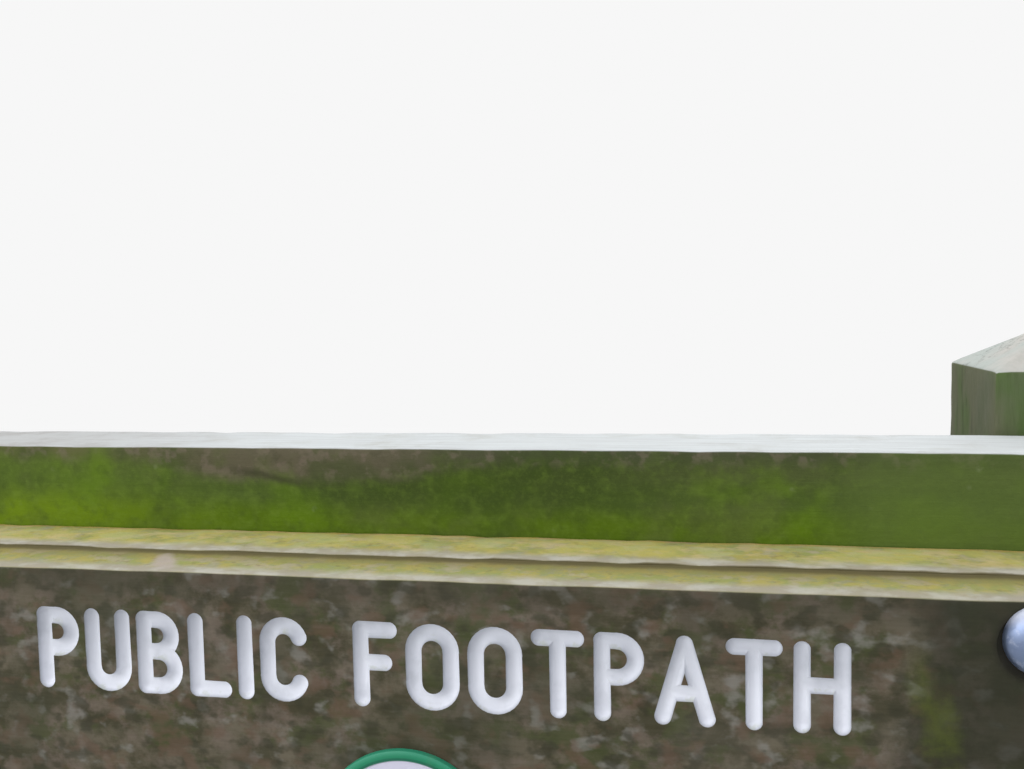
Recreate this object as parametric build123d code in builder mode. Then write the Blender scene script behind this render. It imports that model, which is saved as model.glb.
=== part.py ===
from build123d import *
import os

# A timber footpath gate: one framed leaf with a routed name board on its breast,
# hung by hooks and bands in front of two square posts.
# Millimetres. X runs along the gate, +Y away from the path side, +Z up.
# The origin is the middle of the hanging post's foot, at ground level.

# Posts
POST_SIDE = 120.0
POST_EAVES = 1240.0          # ground to the foot of the weathered top
POST_CAP_RISE = 31.0
POST_CAP_TIP = 9.0           # worn flat at the point of the cap
POST_ARRIS = 4.0
CLEAR_OPENING = 1000.0       # between the inner faces of the posts

# Leaf frame
LEAF_BELOW_EAVES = 40.0      # top of the leaf below the eaves of the posts
LEAF_GROUND_GAP = 90.0
LEAF_DEPTH = 80.0            # front to back, stiles and rails alike
LEAF_TO_POST = 5.0           # air between the leaf's back and the posts' faces
LEAF_HEEL = 22.0             # from the hinge pin to the leaf's end
SHUTTING_LAP = 45.0          # how far the leaf laps the clapping post
STILE_WIDTH = 95.0
TOP_RAIL_HEIGHT = 95.0
MIDDLE_RAIL_HEIGHT = 95.0
BOTTOM_RAIL_HEIGHT = 95.0
BOTTOM_RAIL_LIFT = 40.0      # stile foot to the underside of the bottom rail
TIMBER_ARRIS = 3.0
LOWER_BAR_COUNT = 3
LOWER_BAR_HEIGHT = 90.0
LOWER_BAR_THICKNESS = 32.0
BRACE_WIDTH = 90.0
BRACE_THICKNESS = 32.0

# Mortise and tenon joints
TENON_THICKNESS = 26.0
BAR_TENON_THICKNESS = 20.0
TENON_LENGTH = 60.0
STUB_TENON_LENGTH = 50.0     # of the stiles, up into the top rail
TENON_SHOULDER = 10.0        # step above and below a tenon
MORTISE_PLAY = 0.3

# Boards on the front of the leaf
BOARD_DROP = 55.0            # top of the leaf to the tops of both boards
BACKING_THICKNESS = 54.0
BOARD_HEIGHT = 225.0
SIGN_THICKNESS = 50.0
SIGN_CENTRE_FROM_POST = 343.0  # name board's middle to the clapping post's inner face
SIGN_ARRIS = 3.0

# Waymark disc
DISC_DIAMETER = 100.0
DISC_THICKNESS = 3.0
DISC_RIM_WIDTH = 6.0
DISC_RIM_RAISE = 0.6
DISC_DROP = 143.0            # board top to the disc's centre
DISC_OFF_MIDDLE = 2.0        # board's middle to the disc's centre, towards the clapping post

# Coach bolts through the name board
SIGN_BOLT_IN_STILE = 22.0    # shutting stile's inner edge to the right bolts
SIGN_END_PAST_BOLT = 60.0    # bolts to the board's ends
SIGN_BOLT_EDGE = 19.0        # board top to the upper bolts, and foot to the lower
SIGN_BOLT_DIAMETER = 12.0
SIGN_HEAD_DIAMETER = 34.0
SIGN_HEAD_HEIGHT = 9.0

# Coach screws that hold the backing board on the hanging stile
SCREW_DIAMETER = 10.0
SCREW_HEAD_DIAMETER = 25.0
SCREW_HEAD_HEIGHT = 6.5
SCREW_LENGTH = 110.0
SCREW_OFF_RAIL = 25.0        # screws stand this far inside the rails above and below

# Hook and band hinges
PIN_DIAMETER = 19.0
PIN_PLAY = 0.5               # pin to the inside of the eye
EYE_SEAT_GAP = 0.3           # eye to the hook's shoulder
PIN_SHOW = 12.0              # pin above the eye
BAND_THICKNESS = 7.0
BAND_WIDTH = 44.0
BAND_LENGTH = 345.0          # pin to the tip of the strap
BAND_TIP_CHAMFER = 14.0
BAND_BOLT_COUNT = 3
BAND_BOLT_FIRST = 100.0      # pin to the first bolt
BAND_BOLT_SPACING = 95.0
BAND_BOLT_DIAMETER = 10.0
BAND_HEAD_DIAMETER = 25.0
BAND_HEAD_HEIGHT = 6.5
HOOK_SHANK_DIAMETER = 20.0
HOOK_SHOULDER_DIAMETER = 32.0
HOOK_SHOULDER_HEIGHT = 26.0
HOOK_TAIL = 24.0             # shank past the back of the post
HOOK_PLATE_SIDE = 55.0
HOOK_PLATE_THICKNESS = 5.0
HOOK_NUT_FLATS = 30.0
HOOK_NUT_HEIGHT = 14.0

# Nuts, washers and bolt holes
BOLT_SIDES = 16              # sides of a bolt's shank and head
HEAD_FLATS = (0.7, 0.4)      # bands taken off a domed head in turn, as shares of its height
HOLE_PLAY = 0.3              # on the radius
BOLT_TAIL = 15.0             # bolt past the timber
WASHER_SIDE = 32.0
WASHER_THICKNESS = 2.5
NUT_FLATS = 19.0
NUT_HEIGHT = 10.0

# Levels and faces worked out from the sizes above
post_face = -POST_SIDE / 2
frame_back = post_face - LEAF_TO_POST
frame_front = frame_back - LEAF_DEPTH
backing_front = frame_front - BACKING_THICKNESS
sign_front = backing_front - SIGN_THICKNESS
pivot_y = (frame_back + frame_front) / 2

leaf_top = POST_EAVES - LEAF_BELOW_EAVES
clapping_x = POST_SIDE + CLEAR_OPENING
leaf_left = LEAF_HEEL
leaf_right = POST_SIDE / 2 + CLEAR_OPENING + SHUTTING_LAP
stile_inner_left = leaf_left + STILE_WIDTH
stile_inner_right = leaf_right - STILE_WIDTH

top_rail_foot = leaf_top - TOP_RAIL_HEIGHT
board_top = leaf_top - BOARD_DROP
board_foot = board_top - BOARD_HEIGHT
bottom_rail_foot = LEAF_GROUND_GAP + BOTTOM_RAIL_LIFT
bottom_rail_top = bottom_rail_foot + BOTTOM_RAIL_HEIGHT
sign_x = POST_SIDE / 2 + CLEAR_OPENING - SIGN_CENTRE_FROM_POST
sign_bolt_levels = (board_foot + SIGN_BOLT_EDGE, board_top - SIGN_BOLT_EDGE)
sign_bolt_reach = stile_inner_right + SIGN_BOLT_IN_STILE - sign_x
sign_bolt_places = (sign_x - sign_bolt_reach, sign_x + sign_bolt_reach)
middle_rail_foot = sign_bolt_levels[0] - MIDDLE_RAIL_HEIGHT / 2
disc_centre = (sign_x + DISC_OFF_MIDDLE, board_top - DISC_DROP)
bars_clear = middle_rail_foot - bottom_rail_top - LOWER_BAR_COUNT * LOWER_BAR_HEIGHT
bar_gap = bars_clear / (LOWER_BAR_COUNT + 1)
bar_feet = [
    bottom_rail_top + bar_gap + i * (bar_gap + LOWER_BAR_HEIGHT)
    for i in range(LOWER_BAR_COUNT)
]
bar_back = frame_front + LOWER_BAR_THICKNESS
hinge_levels = {
    "top": (board_top + leaf_top) / 2,
    "bottom": bottom_rail_foot + BOTTOM_RAIL_HEIGHT / 2,
}
band_bolt_row = [BAND_BOLT_FIRST + i * BAND_BOLT_SPACING for i in range(BAND_BOLT_COUNT)]
band_bolt_places = {"top": band_bolt_row, "bottom": band_bolt_row[1:]}
screw_x = leaf_left + STILE_WIDTH / 2
screw_levels = (
    middle_rail_foot + MIDDLE_RAIL_HEIGHT + SCREW_OFF_RAIL,
    top_rail_foot - SCREW_OFF_RAIL,
)


def finish(part, name):
    part.label = name
    export_step(part, f"parts/{name}.step")


def bore(x, z, diameter, start, end):
    """Cut a round hole along Y from start (nearer the front) to end."""
    with BuildSketch(Plane.XZ.offset(-end)) as hole:
        with Locations((x, z)):
            Circle(diameter / 2 + HOLE_PLAY)
    extrude(hole.sketch, amount=end - start, mode=Mode.SUBTRACT)


def upright(x, y, width, depth, foot, height, arris):
    """Raise a squared timber with its upright arrises taken off."""
    with BuildSketch(Plane.XY.offset(foot)) as section:
        with Locations((x, y)):
            Rectangle(width, depth)
        chamfer(section.vertices(), arris)
    extrude(section.sketch, amount=height)


def level_timber(start, end, back, depth, foot, height, arris):
    """Lay a squared timber along X with its long arrises taken off."""
    with BuildSketch(Plane.YZ.offset(start)) as section:
        with Locations((back - depth / 2, foot + height / 2)):
            Rectangle(depth, height)
        chamfer(section.vertices(), arris)
    extrude(section.sketch, amount=end - start)


def end_tenons(back, depth, foot, height, thickness):
    """Run the tenons of a rail past both shoulders, in the middle of its depth."""
    with BuildSketch(Plane.YZ.offset(stile_inner_left - TENON_LENGTH)) as tenon:
        with Locations((back - depth / 2, foot + height / 2)):
            Rectangle(thickness, height - 2 * TENON_SHOULDER)
    extrude(tenon.sketch, amount=stile_inner_right - stile_inner_left + 2 * TENON_LENGTH)


def end_mortise(shoulder, inward, back, depth, foot, height, thickness):
    """Cut the mortise that takes a rail's tenon; inward is +1 or -1 along X."""
    reach = TENON_LENGTH + MORTISE_PLAY
    with BuildSketch(Plane.YZ.offset(shoulder)) as mortise:
        with Locations((back - depth / 2, foot + height / 2)):
            Rectangle(thickness + 2 * MORTISE_PLAY, height - 2 * TENON_SHOULDER + 2 * MORTISE_PLAY)
    extrude(mortise.sketch, amount=inward * reach, mode=Mode.SUBTRACT)


def domed_bolt(x, z, face, head_diameter, head_height, diameter, length):
    """A coach bolt along Y; its head stands in front of face, domed by bands of flats."""
    with BuildPart() as bolt:
        with BuildSketch(Plane.XZ.offset(-face - length)):
            with Locations((x, z)):
                RegularPolygon(diameter / 2, BOLT_SIDES)
        extrude(amount=length)
        with BuildSketch(Plane.XZ.offset(-face)):
            with Locations((x, z)):
                RegularPolygon(head_diameter / 2, BOLT_SIDES)
        extrude(amount=head_height)
        for share in HEAD_FLATS:
            chamfer(bolt.edges().group_by(Axis.Y)[0], head_height * share)
    add(bolt.part)


def nut_and_washer(x, z, face, diameter):
    """Seat a square plate washer and a hexagon nut on the back face of a timber."""
    with BuildSketch(Plane.XZ.offset(-face)) as washer:
        with Locations((x, z)):
            Rectangle(WASHER_SIDE, WASHER_SIDE)
            RegularPolygon(diameter / 2 + HOLE_PLAY, BOLT_SIDES, mode=Mode.SUBTRACT)
    extrude(washer.sketch, amount=-WASHER_THICKNESS)
    with BuildSketch(Plane.XZ.offset(-face - WASHER_THICKNESS)) as nut:
        with Locations((x, z)):
            RegularPolygon(NUT_FLATS / 2, 6, major_radius=False)
            RegularPolygon(diameter / 2 + HOLE_PLAY, BOLT_SIDES, mode=Mode.SUBTRACT)
    extrude(nut.sketch, amount=-NUT_HEIGHT)


def weather_top(x):
    """Cut the four slopes of a post's top, from the eaves up to the worn tip."""
    run = (POST_SIDE - POST_CAP_TIP) / 2
    for side in range(4):
        outward = Vector(1, 0, 0).rotate(Axis.Z, side * 90)
        slope = Plane(
            origin=Vector(x, 0, POST_EAVES) + outward * (POST_SIDE / 2),
            z_dir=outward * POST_CAP_RISE + Vector(0, 0, run),
        )
        split(bisect_by=slope, keep=Keep.BOTTOM)


os.makedirs("parts", exist_ok=True)

# Posts with four-way weathered tops
for name, x in (("hanging_post", 0.0), ("clapping_post", clapping_x)):
    with BuildPart() as post:
        upright(x, 0, POST_SIDE, POST_SIDE, 0, POST_EAVES + POST_CAP_RISE, POST_ARRIS)
        weather_top(x)
        if name == "hanging_post":
            for level in hinge_levels.values():
                shank_level = level - BAND_WIDTH / 2 - EYE_SEAT_GAP - HOOK_SHOULDER_HEIGHT / 2
                bore(x, shank_level, HOOK_SHANK_DIAMETER, post_face, -post_face)
    finish(post.part, name)

# Top rail over both stiles
with BuildPart() as top_rail:
    level_timber(
        leaf_left, leaf_right,
        frame_back, LEAF_DEPTH, top_rail_foot, TOP_RAIL_HEIGHT, TIMBER_ARRIS,
    )
    for x in (leaf_left + STILE_WIDTH / 2, leaf_right - STILE_WIDTH / 2):
        with BuildSketch(Plane.XY.offset(top_rail_foot)):
            with Locations((x, pivot_y)):
                Rectangle(
                    STILE_WIDTH - 2 * TENON_SHOULDER + 2 * MORTISE_PLAY,
                    TENON_THICKNESS + 2 * MORTISE_PLAY,
                )
        extrude(amount=STUB_TENON_LENGTH + MORTISE_PLAY, mode=Mode.SUBTRACT)
    for x in sign_bolt_places:
        bore(x, sign_bolt_levels[1], SIGN_BOLT_DIAMETER, frame_front, frame_back)
    for x in band_bolt_places["top"]:
        bore(x, hinge_levels["top"], BAND_BOLT_DIAMETER, frame_front, frame_back)
finish(top_rail.part, "top_rail")

# Stiles, each with a stub tenon up into the top rail
for name, left, shoulder, inward in (
    ("hanging_stile", leaf_left, stile_inner_left, -1),
    ("shutting_stile", leaf_right - STILE_WIDTH, stile_inner_right, 1),
):
    middle = left + STILE_WIDTH / 2
    with BuildPart() as stile:
        upright(
            middle, pivot_y, STILE_WIDTH, LEAF_DEPTH,
            LEAF_GROUND_GAP, top_rail_foot - LEAF_GROUND_GAP, TIMBER_ARRIS,
        )
        with BuildSketch(Plane.XY.offset(top_rail_foot)):
            with Locations((middle, pivot_y)):
                Rectangle(STILE_WIDTH - 2 * TENON_SHOULDER, TENON_THICKNESS)
        extrude(amount=STUB_TENON_LENGTH)
        rails = ((middle_rail_foot, MIDDLE_RAIL_HEIGHT), (bottom_rail_foot, BOTTOM_RAIL_HEIGHT))
        for foot, height in rails:
            end_mortise(shoulder, inward, frame_back, LEAF_DEPTH, foot, height, TENON_THICKNESS)
        for foot in bar_feet:
            end_mortise(
                shoulder, inward, bar_back, LOWER_BAR_THICKNESS,
                foot, LOWER_BAR_HEIGHT, BAR_TENON_THICKNESS,
            )
        if name == "hanging_stile":
            screw_point = backing_front + SCREW_LENGTH
            for level in screw_levels:
                bore(screw_x, level, SCREW_DIAMETER, frame_front, screw_point + HOLE_PLAY)
        else:
            for level in sign_bolt_levels:
                bore(sign_bolt_places[1], level, SIGN_BOLT_DIAMETER, frame_front, frame_back)
    finish(stile.part, name)

# Middle and bottom rails between the stiles
with BuildPart() as middle_rail:
    level_timber(
        stile_inner_left, stile_inner_right,
        frame_back, LEAF_DEPTH, middle_rail_foot, MIDDLE_RAIL_HEIGHT, TIMBER_ARRIS,
    )
    end_tenons(frame_back, LEAF_DEPTH, middle_rail_foot, MIDDLE_RAIL_HEIGHT, TENON_THICKNESS)
    for x in sign_bolt_places:
        bore(x, sign_bolt_levels[0], SIGN_BOLT_DIAMETER, frame_front, frame_back)
finish(middle_rail.part, "middle_rail")

with BuildPart() as bottom_rail:
    level_timber(
        stile_inner_left, stile_inner_right,
        frame_back, LEAF_DEPTH, bottom_rail_foot, BOTTOM_RAIL_HEIGHT, TIMBER_ARRIS,
    )
    end_tenons(frame_back, LEAF_DEPTH, bottom_rail_foot, BOTTOM_RAIL_HEIGHT, TENON_THICKNESS)
    for x in band_bolt_places["bottom"]:
        bore(x, hinge_levels["bottom"], BAND_BOLT_DIAMETER, frame_front, frame_back)
finish(bottom_rail.part, "bottom_rail")

# Lower bars, flush with the front of the leaf
for number, foot in enumerate(bar_feet, start=1):
    with BuildPart() as lower_bar:
        level_timber(
            stile_inner_left, stile_inner_right,
            bar_back, LOWER_BAR_THICKNESS, foot, LOWER_BAR_HEIGHT, TIMBER_ARRIS,
        )
        end_tenons(bar_back, LOWER_BAR_THICKNESS, foot, LOWER_BAR_HEIGHT, BAR_TENON_THICKNESS)
    finish(lower_bar.part, f"lower_bar_{number}")

# Brace behind the bars, from the heel's foot up to the head of the shutting stile
opening_width = stile_inner_right - stile_inner_left
opening_height = middle_rail_foot - bottom_rail_top
opening_centre = (stile_inner_left + opening_width / 2, bottom_rail_top + opening_height / 2)
corner_to_corner = Vector(opening_width, opening_height)
with BuildPart() as diagonal_brace:
    with BuildSketch(Plane.XZ.offset(-bar_back - BRACE_THICKNESS)):
        with Locations(opening_centre):
            Rectangle(
                corner_to_corner.length,
                BRACE_WIDTH,
                rotation=corner_to_corner.get_signed_angle(Vector(1, 0), Vector(0, 0, -1)),
            )
            Rectangle(opening_width, opening_height, mode=Mode.INTERSECT)
    extrude(amount=BRACE_THICKNESS)
finish(diagonal_brace.part, "diagonal_brace")

# Backing board over the whole breast of the leaf
with BuildPart() as backing_board:
    level_timber(
        leaf_left, leaf_right,
        frame_front, BACKING_THICKNESS, board_foot, BOARD_HEIGHT, SIGN_ARRIS,
    )
    for x in sign_bolt_places:
        for z in sign_bolt_levels:
            bore(x, z, SIGN_BOLT_DIAMETER, backing_front, frame_front)
    for z in screw_levels:
        bore(screw_x, z, SCREW_DIAMETER, backing_front, frame_front)
finish(backing_board.part, "backing_board")

# Name board bolted to the backing board
with BuildPart() as sign_board:
    level_timber(
        sign_bolt_places[0] - SIGN_END_PAST_BOLT, sign_bolt_places[1] + SIGN_END_PAST_BOLT,
        backing_front, SIGN_THICKNESS, board_foot, BOARD_HEIGHT, SIGN_ARRIS,
    )
    for x in sign_bolt_places:
        for z in sign_bolt_levels:
            bore(x, z, SIGN_BOLT_DIAMETER, sign_front, backing_front)
finish(sign_board.part, "sign_board")

# Waymark disc with a slightly raised rim
with BuildPart() as waymark_disc:
    with BuildSketch(Plane.XZ.offset(-sign_front)):
        with Locations(disc_centre):
            Circle(DISC_DIAMETER / 2)
    extrude(amount=DISC_THICKNESS)
    with BuildSketch(Plane.XZ.offset(-sign_front + DISC_THICKNESS)):
        with Locations(disc_centre):
            Circle(DISC_DIAMETER / 2)
            Circle(DISC_DIAMETER / 2 - DISC_RIM_WIDTH, mode=Mode.SUBTRACT)
    extrude(amount=DISC_RIM_RAISE)
finish(waymark_disc.part, "waymark_disc")

# Coach bolts of the name board, with their nuts behind the leaf
grip = frame_back - sign_front
for level_name, z in zip(("lower", "upper"), sign_bolt_levels):
    for side, x in zip(("left", "right"), sign_bolt_places):
        with BuildPart() as sign_bolt:
            domed_bolt(
                x, z, sign_front,
                SIGN_HEAD_DIAMETER, SIGN_HEAD_HEIGHT, SIGN_BOLT_DIAMETER, grip + BOLT_TAIL,
            )
        finish(sign_bolt.part, f"sign_bolt_{level_name}_{side}")

with BuildPart() as sign_nuts:
    for x in sign_bolt_places:
        for z in sign_bolt_levels:
            nut_and_washer(x, z, frame_back, SIGN_BOLT_DIAMETER)
finish(sign_nuts.part, "sign_nuts")

# Coach screws through the backing board into the hanging stile
with BuildPart() as board_screws:
    for z in screw_levels:
        domed_bolt(
            screw_x, z, backing_front,
            SCREW_HEAD_DIAMETER, SCREW_HEAD_HEIGHT, SCREW_DIAMETER, SCREW_LENGTH,
        )
finish(board_screws.part, "board_screws")

# Hook and band hinges
eye_inner = PIN_DIAMETER / 2 + PIN_PLAY
eye_outer = eye_inner + BAND_THICKNESS
strap_front = frame_front - BAND_THICKNESS
for name, level in hinge_levels.items():
    band_foot = level - BAND_WIDTH / 2
    bolt_places = band_bolt_places[name]

    # Band: an eye rolled at the end of a strap that cranks round the leaf's end
    with BuildPart() as band:
        with BuildSketch(Plane.XY.offset(band_foot)):
            with Locations((0, pivot_y)):
                Circle(eye_outer)
            with BuildLine():
                Polyline(
                    (leaf_left - BAND_THICKNESS, pivot_y),
                    (leaf_left, pivot_y),
                    (leaf_left, frame_front),
                    (BAND_LENGTH, frame_front),
                    (BAND_LENGTH, strap_front),
                    (leaf_left - BAND_THICKNESS, strap_front),
                    close=True,
                )
            make_face()
            with Locations((0, pivot_y)):
                Circle(eye_inner, mode=Mode.SUBTRACT)
        extrude(amount=BAND_WIDTH)
        tip_edges = band.edges().filter_by(Axis.Y).group_by(Axis.X)[-1]
        chamfer(tip_edges, BAND_TIP_CHAMFER)
        for x in bolt_places:
            bore(x, level, BAND_BOLT_DIAMETER, strap_front, frame_front)
    finish(band.part, f"{name}_band")

    # Hook: a shank through the post, a shoulder and the upright pin
    shoulder_top = band_foot - EYE_SEAT_GAP
    shank_level = shoulder_top - HOOK_SHOULDER_HEIGHT / 2
    with BuildPart() as hook:
        with BuildSketch(Plane.XZ.offset(-pivot_y)):
            with Locations((0, shank_level)):
                Circle(HOOK_SHANK_DIAMETER / 2)
        extrude(amount=-(-post_face + HOOK_TAIL + HOOK_PLATE_THICKNESS - pivot_y))
        with BuildSketch(Plane.XY.offset(shoulder_top - HOOK_SHOULDER_HEIGHT)):
            with Locations((0, pivot_y)):
                Circle(HOOK_SHOULDER_DIAMETER / 2)
        extrude(amount=HOOK_SHOULDER_HEIGHT)
        with BuildSketch(Plane.XY.offset(shoulder_top)):
            with Locations((0, pivot_y)):
                Circle(PIN_DIAMETER / 2)
        extrude(amount=EYE_SEAT_GAP + BAND_WIDTH + PIN_SHOW)
        chamfer(hook.edges().group_by(Axis.Z)[-1], PIN_DIAMETER / 6)
    finish(hook.part, f"{name}_hook")

    # Square plate and nut that draw the hook tight behind the post
    with BuildPart() as hook_nut:
        with BuildSketch(Plane.XZ.offset(post_face)):
            with Locations((0, shank_level)):
                Rectangle(HOOK_PLATE_SIDE, HOOK_PLATE_SIDE)
                Circle(HOOK_SHANK_DIAMETER / 2 + HOLE_PLAY, mode=Mode.SUBTRACT)
        extrude(amount=-HOOK_PLATE_THICKNESS)
        with BuildSketch(Plane.XZ.offset(post_face - HOOK_PLATE_THICKNESS)):
            with Locations((0, shank_level)):
                RegularPolygon(HOOK_NUT_FLATS / 2, 6, major_radius=False)
                Circle(HOOK_SHANK_DIAMETER / 2 + HOLE_PLAY, mode=Mode.SUBTRACT)
        extrude(amount=-HOOK_NUT_HEIGHT)
    finish(hook_nut.part, f"{name}_hook_nut")

    # Coach bolts of the band, with their nuts
    with BuildPart() as band_bolts:
        for x in bolt_places:
            domed_bolt(
                x, level, strap_front,
                BAND_HEAD_DIAMETER, BAND_HEAD_HEIGHT, BAND_BOLT_DIAMETER,
                BAND_THICKNESS + LEAF_DEPTH + BOLT_TAIL,
            )
    finish(band_bolts.part, f"{name}_band_bolts")

    with BuildPart() as band_nuts:
        for x in bolt_places:
            nut_and_washer(x, level, frame_back, BAND_BOLT_DIAMETER)
    finish(band_nuts.part, f"{name}_band_nuts")
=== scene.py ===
import bpy
import bmesh
import math
import random
from mathutils import Matrix, Vector, noise


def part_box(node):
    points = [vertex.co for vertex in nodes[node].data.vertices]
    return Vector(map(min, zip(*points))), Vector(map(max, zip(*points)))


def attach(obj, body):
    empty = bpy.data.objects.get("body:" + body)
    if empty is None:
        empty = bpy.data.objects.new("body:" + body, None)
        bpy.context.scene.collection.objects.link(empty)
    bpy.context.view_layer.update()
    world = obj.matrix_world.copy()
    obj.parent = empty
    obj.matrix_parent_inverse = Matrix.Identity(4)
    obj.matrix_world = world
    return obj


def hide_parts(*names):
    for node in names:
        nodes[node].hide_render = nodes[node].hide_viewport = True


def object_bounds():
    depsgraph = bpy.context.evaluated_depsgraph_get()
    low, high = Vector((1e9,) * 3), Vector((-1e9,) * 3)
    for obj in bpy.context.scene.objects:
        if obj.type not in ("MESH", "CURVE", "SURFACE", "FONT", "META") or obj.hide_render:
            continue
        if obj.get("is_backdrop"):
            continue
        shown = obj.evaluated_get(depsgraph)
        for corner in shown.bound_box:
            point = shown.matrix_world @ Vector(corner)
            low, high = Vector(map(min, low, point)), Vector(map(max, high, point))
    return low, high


# A weathered timber footpath gate. Metres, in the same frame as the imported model:
# +X runs from the hanging post to the clapping post and the name board faces -Y.

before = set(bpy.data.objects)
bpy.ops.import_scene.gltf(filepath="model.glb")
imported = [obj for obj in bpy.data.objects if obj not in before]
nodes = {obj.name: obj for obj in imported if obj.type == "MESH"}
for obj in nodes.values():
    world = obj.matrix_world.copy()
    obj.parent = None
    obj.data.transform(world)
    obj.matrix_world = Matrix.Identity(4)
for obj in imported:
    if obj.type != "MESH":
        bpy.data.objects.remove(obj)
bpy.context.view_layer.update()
MM = 0.001


# Shader helpers

class Wire:
    """An output socket; arithmetic on it adds Math nodes to its material."""

    def __init__(self, bench, socket):
        self.bench = bench
        self.socket = socket

    def math(self, operation, *terms):
        return self.bench.node("ShaderNodeMath", {"operation": operation}, *terms)

    def __add__(self, other):
        return self.math("ADD", self, other)

    def __radd__(self, other):
        return self.math("ADD", other, self)

    def __sub__(self, other):
        return self.math("SUBTRACT", self, other)

    def __rsub__(self, other):
        return self.math("SUBTRACT", other, self)

    def __mul__(self, other):
        return self.math("MULTIPLY", self, other)

    def __rmul__(self, other):
        return self.math("MULTIPLY", other, self)

    def __truediv__(self, other):
        return self.math("DIVIDE", self, other)

    def __neg__(self):
        return self.math("MULTIPLY", self, -1.0)

    def power(self, other):
        return self.math("POWER", self, other)

    def absolute(self):
        return self.math("ABSOLUTE", self)

    def sign(self):
        return self.math("SIGN", self)

    def sine(self):
        return self.math("SINE", self)

    def least(self, other):
        return self.math("MINIMUM", self, other)

    def most(self, other):
        return self.math("MAXIMUM", self, other)

    def hypot(self, other):
        """How far the point with these two coordinates is from their zero."""
        return (self * self + other * other).power(0.5)

    def step(self, start, end):
        """0 at start and beyond, 1 at end and beyond, smooth between; start may be the larger."""
        settings = {"interpolation_type": "SMOOTHSTEP"}
        if start < end:
            return self.bench.node("ShaderNodeMapRange", settings, self, start, end, 0.0, 1.0)
        return self.bench.node("ShaderNodeMapRange", settings, self, end, start, 1.0, 0.0)


class Nodes:
    """A node tree, and the nodes laid out in it."""

    def __init__(self, tree):
        self.tree = tree

    def raw(self, kind, settings, *values, **named):
        """A new node: its settings first, then what its inputs hold, in their order or by name."""
        node = self.tree.nodes.new(kind)
        for key, value in settings.items():
            setattr(node, key, value)
        pairs = [*zip(node.inputs, values)]
        pairs += [(self.input(node, key), value) for key, value in named.items()]
        for socket, value in pairs:
            if isinstance(value, Wire):
                self.tree.links.new(value.socket, socket)
            elif value is not None:
                socket.default_value = value
        return node

    def input(self, node, key):
        """The enabled input whose name is key, with _ for a space."""
        return next(s for s in node.inputs if s.enabled and s.name == key.replace("_", " "))

    def node(self, kind, settings, *values, output=0, **named):
        """The wire from one output of a new node."""
        return Wire(self, self.raw(kind, settings, *values, **named).outputs[output])

    def seen(self):
        """1 for the camera's rays and reflections, 0 for the light that falls on things."""
        rays = self.raw("ShaderNodeLightPath", {}).outputs
        kinds = ("Is Camera Ray", "Is Glossy Ray", "Is Transmission Ray")
        camera, gloss, through = (Wire(self, rays[kind]) for kind in kinds)
        return camera.most(gloss).most(through)


class Bench(Nodes):
    """One material and the nodes laid out in it."""

    def __init__(self, name):
        self.material = bpy.data.materials.new(name)
        self.material.use_nodes = True
        super().__init__(self.material.node_tree)
        self.shader = self.tree.nodes["Principled BSDF"]
        self.place = Wire(self, self.raw("ShaderNodeTexCoord", {}).outputs["Object"])
        facing = Wire(self, self.raw("ShaderNodeNewGeometry", {}).outputs["Normal"])
        self.x, self.y, self.z = self.split(self.place)
        self.face_x, self.face_y, self.face_z = self.split(facing)

    def split(self, vector):
        """The three wires of a vector or a colour."""
        node = self.raw("ShaderNodeSeparateXYZ", {}, vector)
        return [Wire(self, socket) for socket in node.outputs]

    def scaled(self, *scale, shift=(0.0, 0.0, 0.0)):
        """The place on the piece, stretched by scale along each axis."""
        settings = {"vector_type": "POINT"}
        return self.node("ShaderNodeMapping", settings, self.place, shift, (0.0, 0.0, 0.0), scale)

    def noise(self, vector, size, detail=4.0, roughness=0.55):
        return self.node(
            "ShaderNodeTexNoise", {}, Vector=vector, Scale=size, Detail=detail, Roughness=roughness,
        )

    def cells(self, vector, size, output="Distance", randomness=1.0):
        return self.node(
            "ShaderNodeTexVoronoi", {}, output=output, Vector=vector, Scale=size, Randomness=randomness,
        )

    def mix(self, amount, under, over):
        """Colour over laid on colour under by amount."""
        settings = {"data_type": "RGBA", "blend_type": "MIX"}
        return self.node(
            "ShaderNodeMix", settings, output=2, Factor=amount, A=self.rgba(under), B=self.rgba(over),
        )

    def rgba(self, colour):
        """What a colour socket takes: a wire as it is, a colour with its alpha."""
        return colour if isinstance(colour, Wire) else (*colour, 1.0)

    def set(self, **values):
        """Feed the shader's sockets, named with _ for a space."""
        for key, value in values.items():
            socket = self.shader.inputs[key.replace("_", " ")]
            if isinstance(value, Wire):
                self.tree.links.new(value.socket, socket)
            else:
                socket.default_value = self.rgba(value) if isinstance(value, tuple) else value

    def bump(self, height, depth, under=None):
        """A bump whose height wire is in units of depth metres."""
        return self.node(
            "ShaderNodeBump", {}, Strength=1.0, Distance=depth, Height=height, Normal=under,
        )


def linear(level):
    """The light in a 0-255 screen value."""
    return level / 255 / 12.92 if level < 10 else ((level / 255 + 0.055) / 1.055) ** 2.4


def srgb(red, green, blue):
    """A linear colour from 0-255 screen values."""
    return linear(red), linear(green), linear(blue)


def shift_from(seed):
    """How far a pattern is shifted, the same for the same seed."""
    pick = random.Random(seed)
    return pick.uniform(0, 9), pick.uniform(0, 9), pick.uniform(0, 9)


# Timber finishes

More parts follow.
